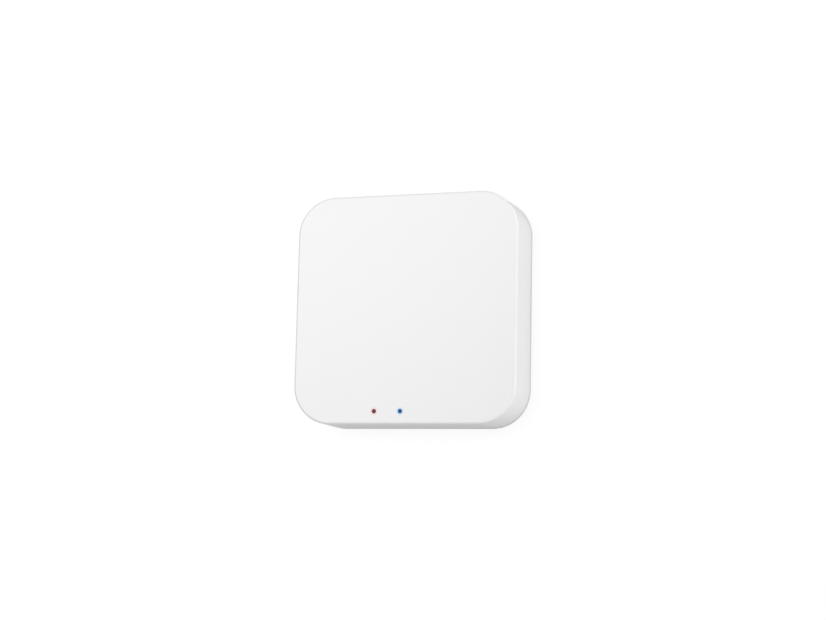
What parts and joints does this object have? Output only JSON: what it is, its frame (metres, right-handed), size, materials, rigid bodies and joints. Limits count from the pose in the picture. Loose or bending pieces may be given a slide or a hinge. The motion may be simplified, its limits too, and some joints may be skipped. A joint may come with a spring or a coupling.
{
  "type": "smart home hub",
  "caption": "Flat square wireless home hub with rounded corners, two indicator lights on its face, and a micro-USB inlet and reset button on one side.",
  "frame": {"origin": "on the table under the middle of the hub, which lies on its four rubber feet", "axes": "+Z out of the front face, up; +Y towards the side with the inlet and the reset button; the indicator lights are along the -Y edge"},
  "size_m": [0.06, 0.06, 0.016],
  "materials": {
    "white_plastic": "fine matt moulded white ABS",
    "grey_rubber": "soft grey silicone rubber",
    "label_film": "blank matt polyester label film",
    "red_lens": "clear light pipe, lit red",
    "blue_lens": "clear light pipe, lit blue",
    "led_body": "cast epoxy",
    "green_board": "green solder mask over glass-fibre laminate",
    "black_board": "black solder mask over glass-fibre laminate",
    "black_plastic": "moulded black plastic",
    "steel": "tin- or nickel-plated sheet steel",
    "gold": "gold-plated contact metal",
    "aluminium": "plain drawn aluminium",
    "ceramic": "fired ceramic"
  },
  "bodies": {
    "housing": {"blue_led": "led_body", "blue_led_resistor": "black_plastic", "blue_light_pipe": "blue_lens", "board_screw_1": "steel", "board_screw_2": "steel", "board_screw_3": "steel", "board_screw_4": "steel", "ferrite_bead": "black_plastic", "front_shell": "white_plastic", "input_capacitor_base": "black_plastic", "input_capacitor_can": "aluminium", "input_diode": "black_plastic", "input_fuse": "green_board", "main_board": "green_board", "output_capacitor_base": "black_plastic", "output_capacitor_can": "aluminium", "rear_cover": "white_plastic", "rear_label": "label_film", "red_led": "led_body", "red_led_resistor": "black_plastic", "red_light_pipe": "red_lens", "regulator_tab": "steel", "reset_resistor": "black_plastic", "reset_switch_base": "black_plastic", "reset_switch_cover": "steel", "reset_switch_dome": "steel", "rubber_foot_1": "grey_rubber", "rubber_foot_2": "grey_rubber", "rubber_foot_3": "grey_rubber", "rubber_foot_4": "grey_rubber", "usb_contact_1": "gold", "usb_contact_2": "gold", "usb_contact_3": "gold", "usb_contact_4": "gold", "usb_contact_5": "gold", "usb_insulator": "black_plastic", "usb_shell": "steel", "voltage_regulator": "black_plastic", "wifi_capacitor_1": "ceramic", "wifi_capacitor_2": "ceramic", "wifi_chip": "black_plastic", "wifi_module_board": "black_board", "wifi_shield_can": "steel", "zigbee_capacitor_1": "ceramic", "zigbee_capacitor_2": "ceramic", "zigbee_chip": "black_plastic", "zigbee_module_board": "black_board", "zigbee_shield_can": "steel"},
    "reset_button": {"reset_button_cap": "white_plastic", "reset_switch_plunger": "black_plastic"}
  },
  "joints": [
    {"name": "reset_press", "type": "slide", "parent": "housing", "child": "reset_button", "axis": [0, -1, 0], "range_m": [0, 0.0004], "stiffness_N_per_m": 4000, "springref_m": -0.0001}
  ]
}
